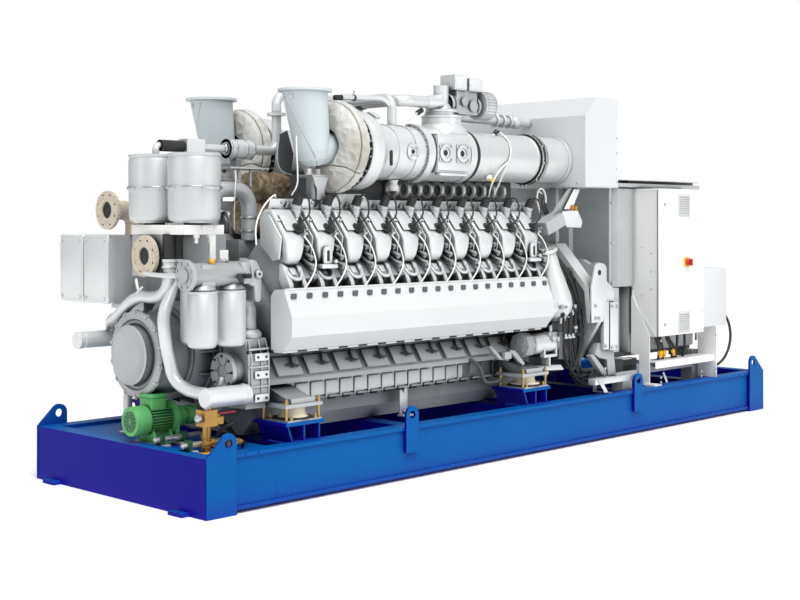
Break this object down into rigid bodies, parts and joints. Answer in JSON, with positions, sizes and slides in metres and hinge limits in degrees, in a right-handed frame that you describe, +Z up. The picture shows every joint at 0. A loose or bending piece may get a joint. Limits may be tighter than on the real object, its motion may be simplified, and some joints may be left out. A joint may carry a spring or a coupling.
{
  "type": "gas generator set",
  "caption": "Stationary gas engine generator set: a vee engine, generator and white control cabinet on one welded blue skid.",
  "frame": {"origin": "floor level under the middle of the skid, on the underside of its middle cross beam", "axes": "+X along the machine from the free end of the engine to the generator, +Y away from the side with the cabinet door, +Z up"},
  "size_m": [5.904, 1.708, 2.535],
  "materials": {
    "black_plastic": "matte black plastic",
    "black_rubber": "matte black rubber",
    "brass": "dull brass",
    "cabinet_paint": "warm white powder coat",
    "dark_metal": "dark grey paint",
    "drum_metal": "satin silver",
    "engine_paint": "satin silver-grey engine paint",
    "jacket_fabric": "padded cream insulation cloth",
    "lever_red": "red coated handle",
    "light_metal": "bare or silver-painted sheet and tube",
    "motor_paint": "green paint",
    "mount_rubber": "cream rubber",
    "outlet_metal": "pale blue-grey paint",
    "primer": "beige primer",
    "skid_paint": "satin cobalt blue paint",
    "switch_yellow": "yellow plastic"
  },
  "bodies": {
    "set": {"side_rails": "skid_paint", "end_beams": "skid_paint", "cross_beams": "skid_paint", "lifting_lugs": "skid_paint", "pedestals": "skid_paint", "isolator_rubbers": "mount_rubber", "isolator_plates": "engine_paint", "engine_feet": "engine_paint", "oil_pan": "engine_paint", "crankcase": "engine_paint", "crankcase_covers": "engine_paint", "front_gearcase": "engine_paint", "cylinder_heads": "engine_paint", "rocker_covers": "engine_paint", "coil_rails": "light_metal", "ignition_coils": "black_plastic", "ignition_leads": "black_rubber", "cable_ducts": "engine_paint", "charge_manifold": "engine_paint", "exhaust_manifolds": "engine_paint", "exhaust_outlet_near": "outlet_metal", "exhaust_outlet_far": "outlet_metal", "turbine_jackets": "jacket_fabric", "turbochargers": "light_metal", "air_pipes": "light_metal", "gas_mixers": "engine_paint", "pipe_joints": "black_rubber", "gas_train": "light_metal", "air_hood": "light_metal", "pipe_brackets": "engine_paint", "breather_drums": "drum_metal", "breather_pipes": "light_metal", "coolant_housing": "engine_paint", "coolant_arch": "engine_paint", "vee_padding": "jacket_fabric", "oil_filters": "drum_metal", "coolant_pump": "engine_paint", "coolant_pipes": "engine_paint", "cooler_boxes": "engine_paint", "flanged_pipes": "primer", "pump_motor": "motor_paint", "valve_block": "brass", "flywheel_housing": "dark_metal", "starter_motor": "engine_paint", "actuator_block": "engine_paint", "adaptor_frame": "engine_paint", "generator_body": "engine_paint", "generator_feet": "engine_paint", "generator_base": "dark_metal", "junction_box": "light_metal", "cabinet_body": "cabinet_paint", "cabinet_mounts": "cabinet_paint", "side_box": "cabinet_paint", "cabinet_cable": "black_rubber", "hose_front": "black_rubber", "hose_rear": "black_rubber"},
    "door": {"cabinet_door": "cabinet_paint", "switch_plate": "switch_yellow"},
    "knob": {"switch_knob": "lever_red"},
    "lever": {"valve_lever": "lever_red"}
  },
  "joints": [
    {"name": "door_hinge", "type": "hinge", "parent": "set", "child": "door", "pos_m": [1.994, -0.812, 1.2475], "axis": [0, 0, 1], "range_deg": [0, 110]},
    {"name": "switch_turn", "type": "hinge", "parent": "door", "child": "knob", "pos_m": [1.7451, -0.84, 1.2475], "axis": [0, -1, 0], "range_deg": [0, 90]},
    {"name": "lever_turn", "type": "hinge", "parent": "set", "child": "lever", "pos_m": [-2.605, -0.55, 0.502], "axis": [0, 0, 1], "range_deg": [-90, 0]}
  ]
}
